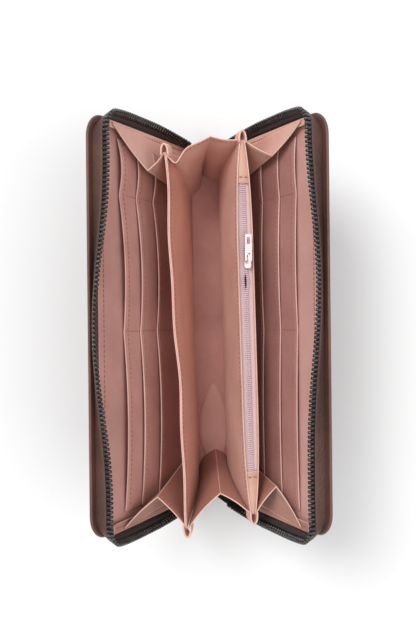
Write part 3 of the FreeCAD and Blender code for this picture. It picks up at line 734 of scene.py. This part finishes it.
def on_divider(side, outward, along, rise):
    """A divider's point: rise climbs it, outward stands off its middle away from the centre compartment.

    X = base + rise sin + flare exp(-rise / fade) to its own side, and both X and Y drift with height
    by the divider's skew and slip. X stays within the foot's half width, which widens with rise.
    """
    lean = DIVIDER_LEAN[side]
    height = rise / DIVIDER_RISE
    slipped = along + DIVIDER_SLIP[side] * height
    across = DIVIDER_BASE + rise * math.sin(lean) + outward * math.cos(lean)
    across = across + DIVIDER_FLARE * np.exp(-rise / FLARE_FADE)
    drift = (FLOOR_SKEW + (DIVIDER_SKEW[side] - FLOOR_SKEW) * np.clip(height, 0, 1)) * slipped
    level = FOLD_LEVEL + rise * math.cos(lean) - outward * math.sin(lean)
    inside = FOOT_HALF + FOOT_WIDENS * rise
    across = np.clip(SIDES[side] * across + drift, -inside, inside)
    return np.stack(np.broadcast_arrays(across, slipped, level), axis=-1)


def stand_divider(piece, side):
    """Bakes a divider's leather into place; the point at its foot is worked out but not used."""
    foot = on_divider(side, 0.0, 0.0, 0.0)
    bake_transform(piece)


def ripple(along, rise):
    """A soft wave of the free edge: two sines of Y, growing with the square of the height."""
    wave = sum(height * np.sin(along / length + phase) for height, length, phase in EDGE_WAVES)
    return wave * (rise / DIVIDER_RISE) ** 2


divider_along, divider_rise = np.meshgrid(
    np.linspace(-DIVIDER_HALF, DIVIDER_HALF, 101), np.linspace(FOOT_START, DIVIDER_RISE, 30)
)
rim_line = np.linspace(-DIVIDER_HALF + 3 * MM, DIVIDER_HALF - 3 * MM, 160)
rim_seam_rise = np.full(160, DIVIDER_RISE - SEAM_BELOW_RIM)
for face_name, toward in (("front", -1), ("back", 1)):
    stand = toward * (PLY / 2 + PLY_GAP) + ripple(divider_along, divider_rise)
    grid = on_divider("left", stand, divider_along, divider_rise)
    ply = sewn_sheet("divider_ply_" + face_name, grid, PLY, divider_leather, raw_edge)
    stand_divider(ply, "left")
    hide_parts("divider_left_" + face_name)
for face_name, toward in (("front", -1), ("back", 1)):
    stand = toward * (PLY + PLY_GAP + THREAD_LIFT) + ripple(rim_line, rim_seam_rise)
    seam = on_divider("left", stand, rim_line, rim_seam_rise)
    facing = np.tile([-float(toward), 0.0, 0.15], (160, 1))
    stitched("divider_seam_" + face_name, seam, facing, "divider_left")


# ---------------------------------------------------------------- coin pocket walls
# The right divider is a zipped pocket of two walls, sewn together at the foot and the ends and
# held a little apart at the mouth, so that it is lens shaped from above.

COIN_HALF = 3.5 * MM
COIN_END_HALF = 0.7 * MM
coin_leather = grained("coin_leather", srgb(226, 180, 164), srgb(200, 150, 136), 0.46, 1500, 0.0001, 0.12)


def coin_stand(along, rise):
    """Half the pocket's width: end half + (half - end half) (1 - |Y / length|^5) (rise / height)^0.8."""
    lengthwise = np.clip(1 - np.abs(along / DIVIDER_HALF) ** 5, 0, 1)
    open_share = lengthwise * np.clip(rise / DIVIDER_RISE, 0, 1) ** 0.8
    return COIN_END_HALF + (COIN_HALF - COIN_END_HALF) * open_share


for wall_name, toward in (("front", -1), ("back", 1)):
    stand = toward * (coin_stand(divider_along, divider_rise) + PLY / 2)
    grid = on_divider("right", stand, divider_along, divider_rise)
    wall = sewn_sheet("coin_pocket_" + wall_name, grid, PLY, coin_leather, raw_edge)
    stand_divider(wall, "right")
    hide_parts("coin_wall_" + wall_name)
    outside = toward * (coin_stand(rim_line, rim_seam_rise) + PLY + THREAD_LIFT)
    seam = on_divider("right", outside, rim_line, rim_seam_rise)
    facing = np.tile([float(toward), 0.0, 0.15], (160, 1))
    stitched("coin_seam_" + wall_name, seam, facing, "divider_right")


# ---------------------------------------------------------------- coin bag
# A loose bag of thin cotton hangs inside the pocket from the zip tapes. It is two cloth faces that
# belly apart below the mouth.

bag_cotton = woven("bag_cotton", srgb(214, 190, 184), srgb(180, 154, 148), 0.0008, 0.85)
BAG_HALF, BAG_FOOT, BAG_TOP = 78 * MM, 13 * MM, 58 * MM
BAG_SHARE, BAG_STAND, BAG_THICK = 0.35, 0.15 * MM, 0.25 * MM
bag_along, bag_rise = np.meshgrid(np.linspace(-BAG_HALF, BAG_HALF, 61), np.linspace(BAG_FOOT, BAG_TOP, 20))
for cloth_name, toward in (("front", -1), ("back", 1)):
    stand = toward * (BAG_SHARE * coin_stand(bag_along, bag_rise) + BAG_STAND)
    grid = on_divider("right", stand, bag_along, bag_rise)
    cloth = sewn_sheet("coin_cloth_" + cloth_name, grid, BAG_THICK, bag_cotton, bag_cotton)
    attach(cloth, "divider_right")
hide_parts("coin_bag")


# ---------------------------------------------------------------- coin zip
# A fine nylon coil zip of pale lilac: two tapes sewn under the pocket's lips, each with a coil of
# small loops along its inner edge. Just below the slider the coils still gape a little.

ZIP_HALF = 74 * MM
ZIP_LEVEL, ZIP_TAPE_THICK = 60.2 * MM, 0.35 * MM
COIL_PITCH, COIL_REST = 1.0 * MM, 0.05 * MM
COIL_GAPE, GAPE_BELOW, GAPE_HALF = 0.75 * MM, 9 * MM, 3.6 * MM
# how far the coil's crown and its root lie from the zip's middle line, and above the tape
COIL_CROWN, COIL_ROOT = (0.5 * MM, 0.45 * MM), (1.5 * MM, 0.4 * MM)
lilac_tape = woven("lilac_tape", srgb(236, 212, 210), srgb(214, 186, 184), 0.0005, 0.8)
lilac_coil = grained("lilac_coil", srgb(232, 206, 214), srgb(206, 176, 186), 0.35, 3000, 0.00003)
SLIDER_PLACE = (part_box("coin_slider")[0][1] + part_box("coin_slider")[1][1]) / 2


def coil_gap(along):
    """Half the space between the coils: a bump just below the slider."""
    from_middle = along - SLIDER_PLACE + GAPE_BELOW
    return COIL_REST + COIL_GAPE * np.exp(-(from_middle / GAPE_HALF) ** 4)


def coil_line(toward, offset):
    """A line beside the coil: an offset from the gap's edge across, and above the tape."""
    out, up = offset
    rise = np.full(zip_along.shape, ZIP_LEVEL + up)
    return on_divider("right", toward * (coil_gap(zip_along) + out), zip_along, rise)


zip_along = np.linspace(-ZIP_HALF, ZIP_HALF, 201)
coil_loop = lofted(
    np.array([-1, -0.8, 0, 0.8, 1]) * 0.95 * MM, np.array([0.1, 0.3, 0.34, 0.3, 0.12]) * MM,
    np.array([0.1, 0.3, 0.4, 0.34, 0.12]) * MM, around=6,
)
for tape_name, toward in (("front", -1), ("back", 1)):
    inner, lip = coil_gap(zip_along), coin_stand(zip_along, ZIP_LEVEL)
    stand = toward * (inner + (lip - inner) * np.linspace(0, 1, 6)[:, None])
    grid = on_divider("right", stand, zip_along, np.full(stand.shape, ZIP_LEVEL))
    tape = sewn_sheet("coin_zip_tape_" + tape_name, grid, ZIP_TAPE_THICK, lilac_tape, lilac_tape)
    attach(tape, "divider_right")
    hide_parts("coin_tape_" + tape_name)
    crown, root = coil_line(toward, COIL_CROWN), coil_line(toward, COIL_ROOT)
    places, roots = even_places(crown, COIL_PITCH, root)
    heading = np.gradient(places, axis=0)
    coil = repeated("coin_zip_coil_" + tape_name, coil_loop, places, places - roots, heading, lilac_coil)
    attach(coil, "divider_right")
    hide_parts("coin_coil_" + tape_name)


# ---------------------------------------------------------------- coin zip ends
# A tan leather end is sewn over each end of the coin zip, closing the pocket's mouth. It narrows
# with the pocket and has a short cross row of stitches.

CAP_START, CAP_SEAM = 70 * MM, 72.5 * MM
CAP_DROP, CAP_CROWN, CAP_THICK = 0.9 * MM, 0.5 * MM, 0.6 * MM
CAP_SEAM_HALF = 0.72 * COIN_HALF
tan_leather = grained("tan_leather", srgb(218, 174, 154), srgb(198, 152, 134), 0.5, 1500, 0.0001, 0.1)
across = np.linspace(-1, 1, 9)[:, None]
cap_rise = DIVIDER_RISE - CAP_DROP + CAP_CROWN * (1 - across ** 2)
seam_stand = np.linspace(-CAP_SEAM_HALF, CAP_SEAM_HALF, 20)
for end_name, end in ENDS.items():
    cap_along = end * np.linspace(CAP_START, DIVIDER_HALF - 0.5 * MM, 24)
    grid = on_divider("right", across * coin_stand(cap_along, DIVIDER_RISE), cap_along, cap_rise)
    cap = sewn_sheet("coin_zip_end_" + end_name, grid, CAP_THICK, tan_leather, raw_edge)
    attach(cap, "divider_right")
    seam = on_divider("right", seam_stand, end * CAP_SEAM, DIVIDER_RISE)
    stitched("coin_end_seam_" + end_name, seam, upward[:20], "divider_right")
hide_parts("coin_zip_ends")


# ---------------------------------------------------------------- coin slider and pull
# A small pale plated slider straddles the coils, and a flat pull with a square eye lies on the
# zip, pointing to the top end.

pale_metal = polished("pale_metal", srgb(238, 218, 218), srgb(214, 190, 192), 0.3)
finish_nodes(["coin_slider", "coin_pull"], pale_metal)


# ---------------------------------------------------------------- divider end loops
# At each end of a divider's free edge the gussets' leather is folded round and sewn into a small
# stiff loop.

LOOP_LENGTH, LOOP_HALF, LOOP_TAIL = 4.2 * MM, 1.7 * MM, 1.2 * MM
LOOP_BELOW, LOOP_ABOVE = 6 * MM, 1 * MM
LOOP_THICK = 0.9 * MM
turn = np.linspace(-math.pi / 2, math.pi / 2, 17)
loop_stand = LOOP_HALF * np.concatenate([[-1.0], np.sin(turn), [1.0]])
loop_reach = np.concatenate([[-LOOP_TAIL], LOOP_LENGTH * np.cos(turn), [-LOOP_TAIL]])
loop_rise = np.linspace(DIVIDER_RISE - LOOP_BELOW, DIVIDER_RISE + LOOP_ABOVE, 8)[:, None]
for side in SIDES:
    for end_name, end in ENDS.items():
        grid = on_divider(side, loop_stand, end * (DIVIDER_HALF + loop_reach), loop_rise)
        loop_piece = sewn_sheet(
            f"divider_loop_{side}_{end_name}", grid, LOOP_THICK, divider_leather, raw_edge
        )
        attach(loop_piece, "divider_" + side)
    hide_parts("rim_tabs_" + side)


# ---------------------------------------------------------------- gussets
# Three folded gussets close each end of the compartments. Each is one sheet of lining leather,
# sewn to the panels on its two long edges and creased in the middle, so it is two soft leaves.
# On the covers the sheet goes on as a flat flange over the ends of the pockets.

GUSSET_THICK, GUSSET_FOOT = 0.6 * MM, 7 * MM
RIM_SEAM = 2.2 * MM
FLANGE_INWARD, FLANGE_THICK = 3.6 * MM, 0.5 * MM
FLANGE_FOOT, FLANGE_TOP = 8 * MM, 85 * MM
FLANGE_ALONG = {1: (84 * MM, 95 * MM), -1: (-84 * MM, -96 * MM)}
TAPER_FOOT, TAPER_LENGTH, TAPER_WIDTH = 35 * MM, 25 * MM, 8 * MM
FLANGE_SEAM_INSET, FLANGE_SEAM_FOOT, FLANGE_SEAM_TOP = 2 * MM, 12 * MM, 83 * MM
EDGE_INWARD = FLANGE_INWARD + 0.6 * MM
COVER_FOOT_HALF, COVER_RIM_OUT = 90 * MM, {1: 4.2 * MM, -1: 5.2 * MM}
COVER_RIM = {("left", 1): 84 * MM, ("left", -1): 77 * MM, ("right", 1): 83 * MM, ("right", -1): 80 * MM}
DIVIDER_RIM = DIVIDER_RISE - 0.5 * MM
DIVIDER_STAND = {"left": 0.6 * MM, "right": 1.0 * MM}
SIDE_BELLY, CENTRE_BELLY, RIM_TIGHT = 1.6 * MM, 2.2 * MM, 0.6
DIP_PLACE, DIP_HALF = 0.2, 0.16
# crease of each gusset at the rim and at the foot
CREASE = {
    ("left", 1): ((-29.0, 74.5, 64), (-10.6, 69, 9)),
    ("left", -1): ((-25.8, -83.0, 64), (-9.8, -70, 9)),
    ("right", 1): ((31.2, 81.0, 64), (11.0, 72, 9)),
    ("right", -1): ((31.6, -78.5, 64), (11.4, -68, 9)),
    ("centre", 1): ((1.6, 90.5, 65), (-3.6, 85.5, 3)),
    ("centre", -1): ((4.6, -82.5, 60), (2.8, -70.5, 3)),
}
# how far from the wallet's middle the centre gusset meets the foot of each divider
CENTRE_FOOT = {("left", 1): 70.5, ("right", 1): 79, ("left", -1): 83.5, ("right", -1): 79}
CENTRE_DIP = {("left", 1): -6.0 * MM}
# Painted light and shade: one lining leather in a painted-light copy for the top gussets and a painted-shade
# copy for the bottom gussets and their flanges.
gusset_lit_and_shaded_leather = {
    1: grained("gusset_leather_top", srgb(226, 176, 160), srgb(202, 150, 134), 0.48, 1500, 0.0001, 0.12),
    -1: grained("gusset_leather_bottom", srgb(180, 127, 111), srgb(152, 101, 87), 0.48, 1500, 0.0001, 0.12),
}


def crease_line(key):
    """A crease, straight from its foot to its rim."""
    rim, foot = (np.array(place) * MM for place in CREASE[key])
    return foot + (rim - foot) * np.linspace(0, 1, 31)[:, None]


def flange_surface(side, end):
    """A flange flat on a cover; its free edge steps out by the taper width above the taper's foot."""
    share, rise = np.meshgrid(np.linspace(0, 1, 9), np.linspace(FLANGE_FOOT, FLANGE_TOP, 50))
    near, far = FLANGE_ALONG[end]
    near = near + end * TAPER_WIDTH * np.clip((rise - TAPER_FOOT) / TAPER_LENGTH, 0, 1)
    return on_cover(side, FLANGE_INWARD, near + (far - near) * share, rise)


def cover_edge(side, end):
    """Where a side gusset is sewn to the cover, from foot to rim."""
    share = np.linspace(0, 1, 31)
    rise = GUSSET_FOOT + (COVER_RIM[side, end] - GUSSET_FOOT) * share
    return on_cover(side, EDGE_INWARD, end * (COVER_FOOT_HALF + COVER_RIM_OUT[end] * share), rise)


def divider_edge(side, end, outward, foot_half, foot_rise):
    """Where a gusset is sewn to a divider, from foot_half out at the foot to the end of the rim."""
    share = np.linspace(0, 1, 31)
    along = end * (foot_half + (DIVIDER_HALF - foot_half) * share)
    return on_divider(side, outward, along, foot_rise + (DIVIDER_RIM - foot_rise) * share)


def gusset_leaf(name, end, edge, crease, belly_out, dip=0.0):
    """One leaf and its rim stitches, with straight rulings from the sewn edge to the crease.

    The leaf bellies by a half sine across, less at the rim, and dip moves it along Y by a bell curve
    close to its sewn edge, by the cube of the height.
    """
    share = np.linspace(0, 1, 25)[:, None, None]
    climb = np.linspace(0, 1, edge.shape[0])[None]
    grid = (1 - share) * edge[None] + share * crease[None]
    normal = unit(np.cross(np.gradient(grid, axis=1), np.gradient(grid, axis=0)))
    swell = np.sin(math.pi * share[..., 0]) * (1 - RIM_TIGHT * climb)
    grid = grid + normal * (belly_out * swell)[..., None]
    grid[..., 1] += dip * np.exp(-((share[..., 0] - DIP_PLACE) / DIP_HALF) ** 2) * climb ** 3
    leaf = sewn_sheet(name, grid, GUSSET_THICK, gusset_lit_and_shaded_leather[end], raw_edge)
    inward = (normal * np.where(normal[..., 1:2] * grid[..., 1:2] > 0, -1.0, 1.0))[1:-1, -1]
    line = grid[1:-1, -1] + RIM_SEAM * unit(grid[1:-1, -3] - grid[1:-1, -1])
    return leaf, thread_row(name + "_seam", line + inward * (GUSSET_THICK / 2 + THREAD_LIFT), inward)


def join_leaf(pieces, replaced):
    """Bakes a leaf and its stitches into place and hides the plain leaf that they replace."""
    for piece in pieces:
        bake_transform(piece)
    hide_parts(replaced)


for side in SIDES:
    for end_name, end in ENDS.items():
        flange = sewn_sheet(
            f"cover_flange_{side}_{end_name}", flange_surface(side, end), FLANGE_THICK,
            gusset_lit_and_shaded_leather[end], raw_edge,
        )
        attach(flange, "cover_" + side)
        seam = on_cover(
            side, FLANGE_INWARD + FLANGE_THICK / 2 + THREAD_LIFT,
            FLANGE_ALONG[end][1] - FLANGE_SEAM_INSET * end,
            np.linspace(FLANGE_SEAM_FOOT, FLANGE_SEAM_TOP, 60),
        )
        facing = inner_normal(side, 60)
        stitched(f"cover_end_seam_{side}_{end_name}", seam, facing, "cover_" + side)

for end_name, end in ENDS.items():
    for side, sign in SIDES.items():
        crease = crease_line((side, end))
        outward = DIVIDER_STAND[side]
        for panel_name, edge, belly_out in (
            ("cover", cover_edge(side, end), SIDE_BELLY),
            ("divider", divider_edge(side, end, outward, DIVIDER_HALF, GUSSET_FOOT), -SIDE_BELLY),
        ):
            name = f"leaf_{side}_{panel_name}_{end_name}"
            body = f"gusset_side_{side}_{panel_name}_{end_name}"
            pieces = gusset_leaf(name, end, edge, crease, belly_out * sign * end)
            join_leaf(pieces, body)
        crease = crease_line(("centre", end))
        edge = divider_edge(side, end, -outward, CENTRE_FOOT[side, end] * MM, 0.0)
        pieces = gusset_leaf(
            f"leaf_centre_{side}_{end_name}", end, edge, crease, CENTRE_BELLY * sign * end,
            CENTRE_DIP.get((side, end), 0.0),
        )
        join_leaf(
            pieces,
            f"gusset_centre_{side}_{end_name}",
        )


# ---------------------------------------------------------------- studio
# A pale paper table under a broad soft light from the upper left, with a weak fill from the
# right, and a lens looking straight down into the wallet.

TABLE_REACH, TABLE_LEVEL = 1.6, -0.2 * MM
table_corners = [
    (across * TABLE_REACH, along * TABLE_REACH, TABLE_LEVEL)
    for across, along in ((-1, -1), (1, -1), (1, 1), (-1, 1))
]
table_paper = bpy.data.materials.new("table_paper")
table_paper.use_nodes = True
paper_shader = table_paper.node_tree.nodes["Principled BSDF"]
paper_shader.inputs["Base Color"].default_value = srgb(240, 240, 240)
paper_shader.inputs["Roughness"].default_value = 0.9
table = make_piece("table", table_corners, [[0, 1, 2, 3]], [table_paper])

world = bpy.data.worlds.new("studio")
bpy.context.scene.world = world
world.use_nodes = True
sky = world.node_tree.nodes["Background"]
sky.inputs["Color"].default_value = (1, 1, 1, 1)
sky.inputs["Strength"].default_value = 0.7


LIT_PLACE = np.array([0.0, 0.0, 0.03])


def soft_box(name, place, size, power):
    """A square area lamp at a place, turned to face the wallet."""
    lamp = bpy.data.lights.new(name, "AREA")
    lamp.shape = "SQUARE"
    lamp.size = size
    lamp.energy = power
    stand = bpy.data.objects.new(name, lamp)
    bpy.context.scene.collection.objects.link(stand)
    stand.location = place
    direction = LIT_PLACE - np.array(place)
    tilt = math.atan2(math.hypot(direction[0], direction[1]), -direction[2])
    stand.rotation_euler = (tilt, 0, math.atan2(direction[1], direction[0]) - math.pi / 2)


soft_box("key", (-1.4, 1.5, 3.1), 1.5, 70.0)
soft_box("fill", (1.6, -0.6, 2.6), 2.2, 22.0)

camera = bpy.data.cameras.new("camera")
camera.lens = 43.9
camera.sensor_width = 36
camera.clip_start = 0.01
eye = bpy.data.objects.new("camera", camera)
bpy.context.scene.collection.objects.link(eye)
eye.location = (-0.5 * MM, 6.0 * MM, 431 * MM)
eye.rotation_euler = (0, 0, math.radians(-0.6))
bpy.context.scene.camera = eye
bpy.context.scene.view_settings.view_transform = "Standard"
